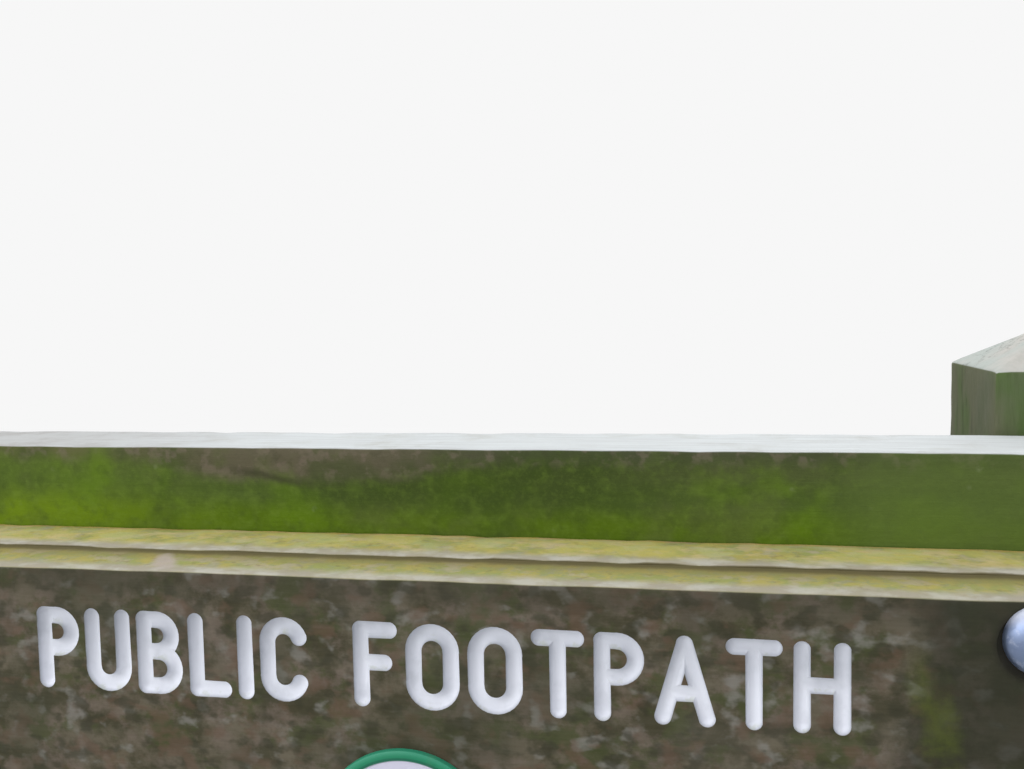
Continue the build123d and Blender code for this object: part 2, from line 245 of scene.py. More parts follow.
SILVER = srgb(164, 160, 146)
BARE_BROWN = srgb(108, 98, 80)
HEART_BROWN = srgb(80, 70, 55)
PINK_GREY = srgb(134, 122, 112)
ALGAE = srgb(86, 108, 44)
DEEP_ALGAE = srgb(56, 76, 32)
OLIVE = srgb(88, 90, 56)
SOOT = srgb(46, 45, 36)
KNOT_RIM = srgb(62, 50, 38)
KNOT_HEART = srgb(98, 78, 56)
BLEACHED = srgb(211, 215, 216)
BLEACHED_GREY = srgb(186, 187, 187)
LICHEN_YELLOW = srgb(170, 160, 92)
LICHEN_GREEN = srgb(150, 154, 92)
LICHEN_PINK = srgb(172, 162, 136)
LICHEN_GREY = srgb(144, 150, 112)
WORN_ARRIS = srgb(164, 157, 142)
JOINT_DIRT = srgb(90, 82, 56)

ALONG_X = (1.0, 14.0, 14.0)
ALONG_Z = (14.0, 14.0, 1.0)
RING_TURN = 1500.0      # radians a metre from the heart


class Timber(Bench):
    """Weathered timber: silvered grain under algae, with checks and knots.

    The grain runs along X or Z, and turn slopes it. Green and soot say how much of each there is.
    """

    def __init__(self, name, along, seed, turn=0.0, green=0.5, soot=0.3):
        super().__init__(name)
        self.shift = shift_from(seed)
        if turn:
            settings = {"vector_type": "POINT"}
            turned = (0.0, turn, 0.0)
            self.place = self.node("ShaderNodeMapping", settings, self.place, (0.0, 0.0, 0.0), turned)
        self.line = self.scaled(*along, shift=self.shift)              # drawn out along the grain
        self.level = self.scaled(1.0, 1.0, 1.0, shift=self.shift)      # alike in all directions
        self.streak = self.noise(self.line, 16.0, 5.0, 0.6)
        self.fine = self.noise(self.line, 60.0, 4.0, 0.65)
        self.blotch = self.noise(self.level, 24.0, 6.0, 0.62)
        self.patch = self.noise(self.level, 62.0, 5.0, 0.6)
        self.cloud = self.noise(self.level, 5.0, 3.0)
        self.fuzz = self.noise(self.level, 300.0, 5.0, 0.7)
        contour = (self.noise(self.line, 5.0, 3.0, 0.5) - 0.5).absolute().step(0.018, 0.005)
        self.check = contour * self.noise(self.level, 7.0, 3.0).step(0.54, 0.62)
        self.upward = self.face_z.step(0.45, 0.85)
        self.downward = (-self.face_z).step(0.5, 0.9)

        wood = self.mix(self.streak.step(0.3, 0.7), BARE_BROWN, SILVER)
        wood = self.mix(self.fine.step(0.35, 0.75) * 0.45, wood, HEART_BROWN)
        wood = self.mix(self.patch.step(0.5, 0.68) * 0.35, wood, PINK_GREY)
        self.wood = self.mix(self.blotch.step(0.45, 0.7) * soot, wood, SOOT)
        self.add_knots(along)
        self.add_rings(along)

        moss = self.mix(self.patch.step(0.35, 0.7), ALGAE, DEEP_ALGAE)
        moss = self.mix(self.streak.step(0.55, 0.8) * 0.35, moss, OLIVE)
        spread = self.cloud * 0.8 + self.blotch * 0.7 + (self.streak - 0.5) * 0.3 - 0.75
        cover = (spread + green * 0.85).step(0.15, 0.75)
        self.colour = self.mix(cover, self.wood, moss)
        self.growth = cover * 0.4

    def add_knots(self, along):
        """A knot here and there, drawn out along the grain."""
        stretched = self.scaled(*(1.8 if share == 1.0 else 3.0 for share in along), shift=self.shift)
        near = self.cells(stretched, 4.0, "Distance", 0.9)
        chance = self.split(self.cells(stretched, 4.0, "Color", 0.9))[0]
        size = near + (self.patch - 0.5) * 0.06
        some = chance.step(0.60, 0.62)
        self.wood = self.mix(size.step(0.20, 0.12) * some * 0.6, self.wood, BARE_BROWN)
        self.wood = self.mix(size.step(0.135, 0.105) * some * 0.85, self.wood, KNOT_RIM)
        self.wood = self.mix(size.step(0.095, 0.07) * some * 0.8, self.wood, KNOT_HEART)

    def add_rings(self, along):
        """Growth rings on the sawn ends."""
        end, across = (self.face_x, self.z) if along == ALONG_X else (self.face_z, self.x)
        beside_heart = self.y - 0.6 * self.shift[0] / 9
        above_heart = across - self.shift[1] / 9
        radius = beside_heart.hypot(above_heart) + self.blotch * 0.006
        ring = (radius * RING_TURN).sine()
        rings = self.mix(ring.step(-0.6, 0.9), srgb(118, 108, 90), srgb(84, 74, 58))
        rings = self.mix(self.patch.step(0.4, 0.65) * 0.6, rings, srgb(132, 128, 112))
        self.wood = self.mix(end.absolute().step(0.75, 0.9) * 0.8, self.wood, rings)

    def blots(self, size, stretch=(1.0, 1.0, 1.0), detail=5.0, roughness=0.6):
        """Three kinds of blot that fall independently of each other."""
        vector = self.scaled(*stretch, shift=self.shift)
        return self.split(self.node(
            "ShaderNodeTexNoise", {}, output="Color", Vector=vector, Scale=size,
            Detail=detail, Roughness=roughness,
        ))

    def lichen(self):
        """Crusts of yellow, green, grey and pinkish lichen."""
        hue, pale, bare = self.blots(56.0)
        dot, grey, gap = self.blots(56.0 * 2.7)
        crust = self.mix(hue.step(0.40, 0.60), LICHEN_GREEN, LICHEN_YELLOW)
        crust = self.mix(pale.step(0.50, 0.64) * 0.8, crust, LICHEN_PINK)
        crust = self.mix(grey.step(0.52, 0.66) * 0.6, crust, LICHEN_GREY)
        crust = self.mix(dot.step(0.58, 0.70) * 0.5, crust, srgb(188, 168, 100))
        crust = self.mix(gap.step(0.54, 0.70) * 0.5, crust, srgb(124, 112, 80))
        return self.mix(bare.step(0.56, 0.70) * 0.6, crust, srgb(150, 146, 126))

    def bleach(self, strength, lichen):
        """What faces up is bleached, with lichen crusts."""
        top = self.mix(self.streak.step(0.35, 0.75) * 0.6, BLEACHED, BLEACHED_GREY)
        top = self.mix(self.blotch.step(0.5, 0.75) * 0.35, top, SILVER)
        spread = self.patch * 0.6 + self.blotch * 0.6 - 0.62 + lichen * 0.6
        growth = spread.step(0.0, 0.4) * min(1.0, lichen * 2.0)
        top = self.mix(growth, top, self.lichen())
        self.growth = self.growth + growth * self.upward
        self.lay(self.upward * strength, top)

    def lay(self, amount, colour):
        """Colour laid over what is there by amount."""
        self.colour = self.mix(amount, self.colour, colour)

    def finish(self, grain=1.0, checks=1.0):
        """The finished material: how much of the grain, and of the checks, is felt and seen."""
        self.lay(self.downward * 0.6, HEART_BROWN)
        relief = self.fine * 0.35 + self.streak * 0.65
        if checks:
            self.lay(self.check * 0.7 * checks, SOOT)
            relief = relief - self.check * 2.0 * checks
        relief = relief * grain + self.growth * self.fuzz
        self.set(
            Base_Color=self.colour, Roughness=0.78 + self.fine * 0.2, Specular_IOR_Level=0.15,
            Normal=self.bump(relief, 0.0011, self.bump(self.patch, 0.0006)),
        )
        return self.material


def framing(name, along, seed, turn=0.0, green=0.5):
    """Plain framing timber."""
    timber = Timber(name, along, seed, turn, green)
    timber.bleach(0.85, 0.25)
    return timber.finish()


def post_timber(name, seed, foot):
    """A post: a soft film of algae all over, dark and green towards the ground, a pale top."""
    timber = Timber(name, ALONG_Z, seed, green=0.35, soot=0.3)
    hue, grey, deep = timber.blots(20.0, (1.0, 1.0, 0.6), 4.0, 0.5)
    greener = (-timber.face_y).step(0.5, 0.9) * 0.12
    film = timber.mix((hue + greener).step(0.38, 0.62), srgb(104, 106, 84), srgb(82, 104, 56))
    film = timber.mix(grey.step(0.50, 0.68) * 0.6, film, srgb(106, 108, 92))
    film = timber.mix(deep.step(0.50, 0.70) * 0.5, film, srgb(78, 92, 60))
    timber.lay(0.90 + timber.cloud * 0.10, film)
    damp = (timber.z + (timber.blotch - 0.5) * 0.3).step(foot + 500 * MM, foot + 20 * MM)
    timber.lay(damp * 0.6, srgb(64, 78, 42))
    sloped = timber.face_z.step(0.35, 0.6)
    top = timber.mix(hue.step(0.4, 0.6), srgb(183, 189, 184), srgb(194, 191, 185))
    timber.lay(sloped, timber.mix(timber.streak.step(0.4, 0.8) * 0.35, top, srgb(160, 164, 154)))
    timber.lay(timber.fine.step(0.45, 0.70) * (1.0 - sloped) * 0.2, srgb(66, 74, 48))
    timber.streak = timber.fine      # the film fills the coarse grain
    return timber.finish(0.3, 0.4)


# Places along the rail; it is in full sun up to SUNLIT, and not past SHADED
SUNLIT, SHADED = 420 * MM, 600 * MM
BARE_MIDDLE = 620 * MM
SHADE_MIDDLE = 730 * MM
PALER_START, PALER_END = 930 * MM, 980 * MM
GOUGE_X, GOUGE_Z = 597.5 * MM, 1180 * MM
GOUGE_DIP = math.radians(10.8)


def rail_timber(name, top):
    """The top rail: bleached top; moss on its face, brightest at the foot, thin under the arris
    and paler at the right end."""
    timber = Timber(name, ALONG_X, 3, green=0.6, soot=0.2)
    bright, dark, hue = timber.blots(20.0, (0.8, 1.0, 0.9), 4.0, 0.55)
    tuft, speck, shade = timber.blots(110.0, (0.9, 1.0, 1.0), 3.0, 0.55)
    drop = (top - timber.z) / MM + (timber.blotch - 0.5) * 16.0      # millimetres
    sunlit = (timber.x + (timber.cloud - 0.5) * 0.1).step(SHADED, SUNLIT)

    moss = timber.mix(drop.step(14.0, 30.0), srgb(80, 90, 50), srgb(77, 94, 42))
    moss = timber.mix(drop.step(30.0, 48.0), moss, srgb(84, 108, 20))
    sunny = timber.mix(drop.step(22.0, 46.0), srgb(88, 110, 38), srgb(114, 140, 22))
    moss = timber.mix(sunlit * 0.8, moss, sunny)
    moss = timber.mix(bright.step(0.50, 0.68) * 0.55, moss, srgb(98, 128, 22))
    moss = timber.mix(dark.step(0.50, 0.68) * 0.55, moss, srgb(62, 76, 36))
    moss = timber.mix(hue.step(0.54, 0.72) * 0.4, moss, srgb(92, 96, 62))
    shady = (timber.x - SHADE_MIDDLE).absolute().step(170 * MM, 50 * MM) * drop.step(50.0, 30.0)
    moss = timber.mix(shady * 0.65, moss, srgb(56, 72, 26))
    moss = timber.mix(tuft.step(0.46, 0.72) * 0.28, moss, srgb(110, 134, 52))
    moss = timber.mix(shade.step(0.46, 0.72) * 0.32, moss, srgb(60, 74, 32))
    moss = timber.mix(timber.fuzz.step(0.45, 0.7) * 0.12, moss, srgb(126, 150, 66))
    paler = (timber.x + (timber.cloud - 0.5) * 0.06).step(PALER_START, PALER_END)
    moss = timber.mix(paler * 0.65, moss, srgb(93, 111, 55))
    behind = timber.face_y.step(0.4, 0.8)
    bald = behind * (1.0 - timber.cloud.step(0.35, 0.6) * 0.45)
    ends = timber.face_x.absolute().step(0.75, 0.9)
    timber.lay((1.0 - bald) * (1.0 - ends * 0.55), moss)

    middle = (timber.x - BARE_MIDDLE).absolute().step(160 * MM, 30 * MM)
    reach = 7.0 + middle * 13.0
    bare = timber.mix(middle, srgb(72, 76, 54), srgb(98, 91, 75))
    bare = timber.mix(sunlit, bare, srgb(100, 98, 64))
    bare = timber.mix(dark.step(0.44, 0.58) * 0.6, bare, srgb(68, 78, 44))
    bare = timber.mix(speck.step(0.48, 0.64) * 0.5, bare, srgb(124, 110, 100))
    bare = timber.mix(shade.step(0.48, 0.72) * 0.35, bare, srgb(64, 64, 46))
    worn = (drop - reach).step(8.0, -6.0) * (0.92 - bright.step(0.50, 0.64) * 0.4)
    timber.lay(worn * (1.0 - paler * 0.5) * (1.0 - behind), bare)
    right = timber.x - GOUGE_X
    up = timber.z - GOUGE_Z
    along = right * math.cos(GOUGE_DIP) - up * math.sin(GOUGE_DIP)
    across = right * math.sin(GOUGE_DIP) + up * math.cos(GOUGE_DIP) + (timber.patch - 0.5) * 0.006
    gouge = across.absolute().step(4.2 * MM, 0.0) * along.absolute().step(44 * MM, 8 * MM)
    timber.lay(gouge * 0.7, srgb(62, 62, 44))
    spots = timber.cells(timber.level, 52.0).step(0.15, 0.03) * timber.blotch.step(0.5, 0.6)
    timber.lay(spots * 0.35, srgb(150, 158, 124))

    timber.bleach(1.0, 0.02)
    greyed = timber.upward * sunlit * (0.55 + timber.blotch.step(0.42, 0.58) * 0.4)
    timber.lay(greyed, srgb(172, 170, 168))
    return timber.finish(0.3, 0.0)


class Board(Timber):
    """A board: mottled dark brown face and lichen along its top."""

    def __init__(self, name, seed, low, high):
        super().__init__(name, ALONG_X, seed, green=0.1, soot=0.5)
        self.low = low
        self.high = high
        self.tone, self.pink, self.green = self.blots(54.0, (0.72, 1.0, 0.9), 5.0, 0.62)
        self.drip = self.noise(self.scaled(6.0, 6.0, 1.0, shift=self.shift), 8.0, 5.0, 0.6)
        self.waver = (self.patch - 0.5) * 0.006
        self.near_top = self.z.step(high.z - 14 * MM, high.z - 8 * MM)
        self.add_face()
        self.lay(self.upward, self.lichen())
        self.growth = self.growth + self.upward * 0.5

    def add_face(self):
        """Brown and pinkish wood with grey, green and dark blots, and a painted shadow under the arris.
        """
        grey, dark, warm = self.blots(100.0, (0.7, 1.0, 0.95), 3.0, 0.48)
        broad = self.noise(self.level, 13.0, 2.0, 0.5)
        face = self.mix(self.tone.step(0.40, 0.60), srgb(64, 61, 44), srgb(98, 91, 76))
        face = self.mix(self.pink.step(0.48, 0.62) * 0.6, face, srgb(114, 101, 92))
        face = self.mix(self.green.step(0.49, 0.62) * 0.75, face, srgb(62, 70, 36))
        face = self.mix(grey.step(0.54, 0.70) * 0.7, face, srgb(128, 126, 120))
        face = self.mix(dark.step(0.49, 0.64) * 0.7, face, srgb(50, 50, 36))
        face = self.mix(warm.step(0.52, 0.68) * 0.6, face, srgb(98, 78, 64))
        face = self.mix(self.drip.step(0.5, 0.7) * 0.3, face, srgb(58, 58, 44))
        face = self.mix(self.fine.step(0.3, 0.7) * 0.06, face, srgb(44, 42, 32))
        face = self.mix(broad.step(0.50, 0.62) * 0.45, face, srgb(58, 60, 44))
        face = self.mix(broad.step(0.46, 0.36) * 0.12, face, srgb(116, 110, 102))
        self.lay(0.94 - self.face_x.absolute().step(0.75, 0.9) * 0.4, face)
        # Painted shadow: the face is darkened just under the top arris.
        below = self.high.z - self.z - (self.tone - 0.5) * 0.012
        self.lay(below.step(20 * MM, 6 * MM) * 0.45, srgb(58, 56, 44))

    def add_arris(self):
        """The front arris of the top, worn pale."""
        edge = self.y - self.low.y + (self.patch - 0.5) * 0.010
        arris = self.upward * edge.step(17 * MM, 4 * MM) * (0.6 + self.tone * 0.6)
        pale = self.mix(self.pink.step(0.42, 0.62), WORN_ARRIS, srgb(184, 181, 170))
        self.lay(arris, pale)


def backing_timber(low, high, joint_start):
    """The backing board: brighter lichen, and dirt in the joint with the name board."""
    board = Board("backing_timber", 31, low, high)
    hue = board.noise(board.level, 30.0, 4.0, 0.6)
    board.lay(board.upward * hue.step(0.42, 0.58) * 0.5, srgb(196, 186, 104))
    board.lay(board.upward * board.pink.step(0.50, 0.62) * 0.5, srgb(200, 180, 136))
    board.lay(board.upward * board.green.step(0.50, 0.62) * 0.4, srgb(172, 180, 128))
    board.add_arris()
    rust = (high.y - board.y + board.waver).step(9 * MM, 2 * MM)
    board.lay(board.upward * rust * 0.5, srgb(184, 140, 66))
    beside_sign = board.x.step(joint_start - 2 * MM, joint_start + 4 * MM)
    joint = (board.y - low.y + board.waver * 0.2).step(2.2 * MM, 0.8 * MM)
    board.lay(joint * board.near_top * beside_sign * 0.9, JOINT_DIRT)
    return board.finish(0.25, 0.0)


# A knot in the name board's top, from the board's left end and back
KNOT_RIGHT = 229 * MM
KNOT_FORWARD = 31 * MM


def sign_timber(low, high, bolt_reach, bolt_rise):
    """The name board: a dirty joint behind, a knot in its top, a dark band down its face about each
    bolt and painted shade in the recesses round their heads.

    The bolts' reach and rise are from the board's middle.
    """
    board = Board("sign_timber", 61, low, high)
    board.add_arris()
    behind = high.y - board.y + board.waver
    board.lay(behind.step(34 * MM, 10 * MM) * board.near_top * 0.75, srgb(124, 114, 72))
    board.lay(behind.step(17 * MM, 9 * MM) * board.near_top * 0.85, JOINT_DIRT)
    knot_y = board.y - high.y + KNOT_FORWARD
    knot_x = board.x - low.x - KNOT_RIGHT + knot_y * 0.45
    knot = (knot_x * knot_x + knot_y * knot_y * 0.3).power(0.5) + (board.patch - 0.5) * 0.012
    board.lay(knot.step(11 * MM, 4 * MM) * board.upward * 0.75, srgb(182, 168, 162))

    middle = (low + high) / 2
    right = board.x - middle.x
    up = board.z - middle.z
    side = right.absolute() - bolt_reach
    below = high.z - board.z
    under_top = 1.0 - board.upward * below.step(12 * MM, 6 * MM)
    front = board.y.step(low.y + 12 * MM, low.y + 8 * MM) * under_top
    # A dark band down the face about each bolt, wider lower down and less dark at the bolts' height.
    ragged = (board.cloud - 0.5) * 0.06 + (board.blotch - 0.5) * 0.05
    column = (side.absolute() + ragged - below.least(0.1) * 0.14).step(52 * MM, 28 * MM)
    spent = 1.0 - up.absolute().step(40 * MM, 10 * MM) * 0.35
    board.lay(column * 0.8 * front * spent, srgb(48, 49, 38))
    drift = (board.drip - 0.5) * 0.02 + (board.blotch - 0.5) * 0.05
    fringe = (side + 56 * MM - below * 0.14 + drift).absolute().step(14 * MM, 0.0)
    fringe = fringe * below.step(16 * MM, 50 * MM) * below.step(140 * MM, 80 * MM)
    board.lay(fringe * board.tone.step(0.3, 0.6) * 0.5 * front, srgb(88, 98, 36))
    # Painted shade in the recess round each bolt head, which sits a little low and left of the bolt.
    from_x = right - right.sign() * bolt_reach + RECESS_LEFT
    from_z = up - up.sign() * bolt_rise + RECESS_DOWN
    hollow = from_x.hypot(from_z) + (board.tone - 0.5) * 0.003
    hollow = hollow.step(RECESS_RADIUS + 3 * MM, RECESS_RADIUS - 3 * MM)
    board.lay(hollow * 0.9 * front, srgb(36, 34, 30))
    return board.finish(0.25, 0.0)


# Paint, plastic and zinc

GROOVE_WHITE = srgb(229, 231, 240)
GROOVE_GREY = srgb(158, 162, 171)
GROOVE_GREEN = srgb(168, 174, 140)
# The zinc's blue tint is partly its own colour and partly a painted reflection of a blue sky.
ZINC = srgb(134, 148, 177)
ZINC_DULL = srgb(102, 116, 145)
ZINC_WHITE = srgb(206, 210, 224)
ZINC_GREY = srgb(130, 133, 137)
DISC_RIM = srgb(46, 140, 108)
DISC_LINE = srgb(2, 98, 72)
DISC_FACE = srgb(208, 206, 224)

# The disc's print: a dark line, in shares of its radius, and an arrow, from its centre
LINE_INSIDE, LINE_OUTSIDE = 0.890, 0.925
LINE_EDGE = 0.010
SHAFT_HALF_WIDTH = 5 * MM
SHAFT_HALF_LENGTH = 12 * MM
SHAFT_DROP = 14 * MM
HEAD_RISE = 17 * MM
HEAD_DROP = 3 * MM
HEAD_SLOPE = 1.2
PRINT_EDGE = 0.2 * MM


def groove_paint(name, face_y, foot_z, cap_height):
    """White paint in the routed letters, with painted shade at their heads, greyer near the rim as dirt
    and painted shade.
    """
    bench = Bench(name)
    mottle = bench.noise(bench.place, 160.0, 5.0, 0.6)
    grime_and_shade_noise = bench.noise(bench.place, 60.0, 4.0)
    depth = bench.y - face_y + (mottle - 0.5) * 0.0012
    # Painted shade: the letters turn greyer towards their heads, under the groove's upper edge.
    head = (bench.z + (grime_and_shade_noise - 0.5) * 0.02).step(foot_z, foot_z + cap_height)
    # Greyer near the rim: partly dirt, partly painted shade on the groove's walls.
    colour = bench.mix(depth.step(0.0034, 0.0004) * 0.65, GROOVE_WHITE, GROOVE_GREY)
    colour = bench.mix(head * 0.35, colour, GROOVE_GREY)
    colour = bench.mix(grime_and_shade_noise.step(0.5, 0.75) * 0.25, colour, GROOVE_GREY)
    sill = bench.face_z.step(0.3, 0.9) * mottle.step(0.5, 0.65)
    colour = bench.mix(sill * 0.35, colour, GROOVE_GREEN)
    colour = bench.mix(depth.step(0.0010, 0.0001) * 0.8, colour, srgb(110, 106, 92))
    bench.set(
        Base_Color=colour, Roughness=0.55 + mottle * 0.2, Specular_IOR_Level=0.35,
        Normal=bench.bump(mottle, 0.0003),
    )
    return bench.material


def within(distance, reach):
    """1 inside a printed shape, 0 outside it."""
    return distance.step(reach + PRINT_EDGE, reach - PRINT_EDGE)


def disc_plastic(name, centre, radius):
    """Printed plastic: a green rim, a dark line inside it, a pale face and a plain arrow."""
    bench = Bench(name)
    across = bench.x - centre.x
    up = bench.z - centre.z
    out = across.hypot(up) / radius
    speck = bench.noise(bench.place, 220.0, 4.0)
    dirt = bench.noise(bench.place, 40.0, 5.0)
    # Painted highlight and shade: the rim is lighter towards its edge and darker inside, as a rounded
    # rim lit from above.
    rim = bench.mix(out.step(LINE_OUTSIDE + LINE_EDGE, 0.99), srgb(16, 124, 88), DISC_RIM)
    line_outside = out.step(LINE_OUTSIDE - LINE_EDGE, LINE_OUTSIDE + LINE_EDGE)
    line_inside = out.step(LINE_INSIDE + LINE_EDGE, LINE_INSIDE - LINE_EDGE)
    colour = bench.mix(line_outside, DISC_LINE, rim)
    colour = bench.mix(line_inside, colour, DISC_FACE)
    beside = across.absolute()
    shaft = within(beside, SHAFT_HALF_WIDTH) * within((up + SHAFT_DROP).absolute(), SHAFT_HALF_LENGTH)
    head = within(beside * HEAD_SLOPE + up, HEAD_RISE) * within(-up, HEAD_DROP)
    colour = bench.mix(shaft.most(head), colour, DISC_LINE)
    colour = bench.mix(dirt.step(0.55, 0.75) * 0.2, colour, srgb(120, 128, 96))
    bench.set(
        Base_Color=colour, Roughness=0.38 + dirt * 0.25, Specular_IOR_Level=0.35,
        Normal=bench.bump(speck, 0.00012),
    )
    return bench.material


def galvanised(name, seed, shine):
    """Hot-dipped zinc: cloudy spangle, white bloom, stains and less gloss as shine goes to 0, and a
    painted reflection of the sky on what faces up as shine goes to 1.
    """
    bench = Bench(name)
    shift = shift_from(seed)
    here = bench.scaled(1.0, 1.0, 1.0, shift=shift)
    tone = bench.split(bench.cells(here, 260.0, "Color"))[0]
    cloud = bench.noise(here, 55.0, 5.0)
    bloom = bench.noise(here, 120.0, 6.0, 0.7).step(0.55, 0.72)
    dull = 1.0 - shine
    colour = bench.mix(tone * 0.4 + cloud * 0.4, ZINC, ZINC_DULL)
    colour = bench.mix((0.55 + cloud.step(0.3, 0.7) * 0.4) * dull, colour, ZINC_GREY)
    colour = bench.mix(bloom * 0.4, colour, ZINC_WHITE)
    # Painted reflection: what faces up is whitened, less metallic and rougher, as a sheen of the sky.
    painted_sky_sheen = (bench.face_z + (cloud - 0.5) * 0.5).step(0.25, 0.80) * shine
    colour = bench.mix(painted_sky_sheen * 0.75, colour, ZINC_WHITE)
    stain = bench.noise(bench.scaled(3.0, 3.0, 1.0, shift=shift), 30.0, 5.0).step(0.58, 0.74)
    colour = bench.mix(stain * 0.5 * dull, colour, srgb(112, 98, 78))
    rough = 0.36 + 0.10 * dull
    bench.set(
        Base_Color=colour,
        Metallic=0.92 - 0.25 * dull - bloom * 0.25 - painted_sky_sheen * 0.55 - stain * 0.4 * dull,
        Roughness=rough + cloud * 0.14 + bloom * 0.12 + painted_sky_sheen * 0.1 + stain * 0.2 * dull,
        Normal=bench.bump(cloud * 0.7 + tone * 0.12, 0.0004),
    )
    return bench.material


# Shaping helpers

X, Z = 0, 2
GRID = 9 * MM
LONG_GRID = GRID * 1.6                      # along the grain
ARRIS = 2.5 * MM
HOLLOW = 0.8 * MM                           # how far faces sink
GNAW = 2.5 * MM                             # how far arrises do
WAVES_ALONG, WAVES_ACROSS = 4.0, 30.0       # a metre
SHARP = math.radians(38)                    # an edge that turns more stays crisp


def mesh_of(name, bm):
    """The shape as a mesh."""
    mesh = bpy.data.meshes.new(name)
    bm.to_mesh(mesh)
    bm.free()
    return mesh


def placed(name, data):
    """A new object in the scene."""
    made = bpy.data.objects.new(name, data)
    bpy.context.scene.collection.objects.link(made)
    return made


def box_mesh(low, high):
    """A box from its low corner to its high one."""
    bm = bmesh.new()
    bmesh.ops.create_cube(bm, size=1.0)
    bmesh.ops.scale(bm, vec=high - low, verts=bm.verts)
    bmesh.ops.translate(bm, vec=(low + high) / 2, verts=bm.verts)
    return bm


def take_off(bm, edges, width, segments=3):
    """Round over the given edges."""
    bmesh.ops.bevel(
        bm, geom=edges, offset=width, offset_type="OFFSET", affect="EDGES",
        segments=segments, profile=0.5, material=-1,
    )


def cut_across(bm, point, normal, **clear):
    """Cut everything at a plane, and clear a side of it if that is asked."""
    geometry = bm.verts[:] + bm.edges[:] + bm.faces[:]
    bmesh.ops.bisect_plane(bm, geom=geometry, dist=1e-7, plane_co=point, plane_no=normal, **clear)


def slice_up(bm, low, high, along):
    """Cut the faces into a grid, longer along the grain."""
    for axis in range(3):
        across = Vector((axis == 0, axis == 1, axis == 2))
        step = LONG_GRID if axis == along else GRID
        count = max(1, round((high[axis] - low[axis]) / step))
        for i in range(1, count):
            cut_across(bm, low.lerp(high, i / count), across)


def wear(bm, low, high, along, seed, hollow=HOLLOW, gnaw=GNAW):
    """Sink the faces in shallow waves along the grain and gnaw the arrises; nothing moves outward."""
    slice_up(bm, low, high, along)
    bm.normal_update()
    waves = Vector([WAVES_ALONG if axis == along else WAVES_ACROSS for axis in range(3)])
    shift = Vector((seed * 3.1, seed * 1.7, seed * 2.3))
    moves = []
    for vert in bm.verts:
        inside = sorted(min(vert.co[i] - low[i], high[i] - vert.co[i]) for i in range(3))
        arris = max(0.0, 1.0 - inside[1] / GRID) ** 2
        dip = 0.5 + 0.5 * noise.noise(vert.co * waves + shift)
        bite = max(0.0, 0.25 + noise.fractal(vert.co * 38.0 + shift, 1.0, 2.0, 3))
        moves.append(vert.normal * -(hollow * max(0.0, dip) + gnaw * arris * min(1.0, bite)))
    for vert, move in zip(bm.verts, moves):
        vert.co += move


def piece(name, bm, materials, body, slot, *stands_for):
    """Make the mesh a piece that rides on a body and stands for its CAD nodes."""
    mesh = mesh_of(name, bm)
    for material in materials:
        mesh.materials.append(material)
    mesh.shade_smooth()
    mesh.set_sharp_from_angle(angle=SHARP)
    made = placed(name, mesh)
    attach(made, body)
    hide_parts(*stands_for)
    return made


# Timbers

boxes = {name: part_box(name) for name in nodes}
left_shoulder = boxes["hanging_stile"][1].x
right_shoulder = boxes["shutting_stile"][0].x


def timber_piece(
    name, box, along, material, seed,
    slot="leaf_timber", hollow=HOLLOW, gnaw=GNAW, back_arris=ARRIS,
):
    """A sawn timber of the leaf, hollowed and worn, with one arris behind its top rounded more."""
    low, high = box
    bm = box_mesh(low, high)
    if back_arris > ARRIS:
        corner = high - Vector((0.0, MM, MM))
        behind = [e for e in bm.edges if all(v.co.y > corner.y and v.co.z > corner.z for v in e.verts)]
        take_off(bm, behind, back_arris)
    take_off(bm, [e for e in bm.edges if e.calc_face_angle() > 1.0], ARRIS)
    wear(bm, low, high, along, seed, hollow, gnaw)
    return piece(name, bm, [material], "leaf", slot, name)


def between_shoulders(name):
    """The node's box without its tenons."""
    low, high = boxes[name]
    return Vector((left_shoulder, low.y, low.z)), Vector((right_shoulder, high.y, high.z))


rail = boxes["top_rail"]
timber_piece("top_rail", rail, X, rail_timber("rail_timber", rail[1].z), 1, gnaw=1.6 * MM)

for seed, name in enumerate(("hanging_stile", "shutting_stile"), start=11):
    low, high = boxes[name]
    material = framing(f"{name}_timber", ALONG_Z, seed)
    timber_piece(name, (low, Vector((high.x, high.y, rail[0].z))), Z, material, seed)

level_timbers = ("middle_rail", "bottom_rail", "lower_bar_1", "lower_bar_2", "lower_bar_3")
for seed, name in enumerate(level_timbers, start=21):
    material = framing(f"{name}_timber", ALONG_X, seed, green=0.35 + 0.06 * (seed % 4))
    timber_piece(name, between_shoulders(name), X, material, seed)

board_low, board_high = boxes["sign_board"]
backing_low, backing_high = boxes["backing_board"]
backing = backing_timber(backing_low, backing_high, board_low.x)
timber_piece("backing_board", boxes["backing_board"], X, backing, 31, "board_timber", gnaw=1.8 * MM)

# The brace is shaped level, turned to its slope and cut to the opening
BRACE_WIDTH = 90 * MM
low, high = boxes["diagonal_brace"]
run = Vector((high.x - low.x, 0.0, high.z - low.z))
slope = math.atan2(run.z, run.x)
half = Vector((run.length / 2 + BRACE_WIDTH, (high.y - low.y) / 2, BRACE_WIDTH / 2))
bm = box_mesh(-half, half)
take_off(bm, bm.edges[:], ARRIS)
wear(bm, -half, half, X, 41)
bmesh.ops.rotate(bm, verts=bm.verts, matrix=Matrix.Rotation(-slope, 3, "Y"))
bmesh.ops.translate(bm, verts=bm.verts, vec=(low + high) / 2)
for point, normal in ((low, (-1, 0, 0)), (low, (0, 0, -1)), (high, (1, 0, 0)), (high, (0, 0, 1))):
    cut_across(bm, point, normal, clear_outer=True)
    bmesh.ops.holes_fill(bm, edges=[e for e in bm.edges if e.is_boundary])
bmesh.ops.recalc_face_normals(bm, faces=bm.faces)
brace = framing("brace_timber", ALONG_X, 41, turn=slope, green=0.35)
piece("diagonal_brace", bm, [brace], "leaf", "leaf_timber", "diagonal_brace")

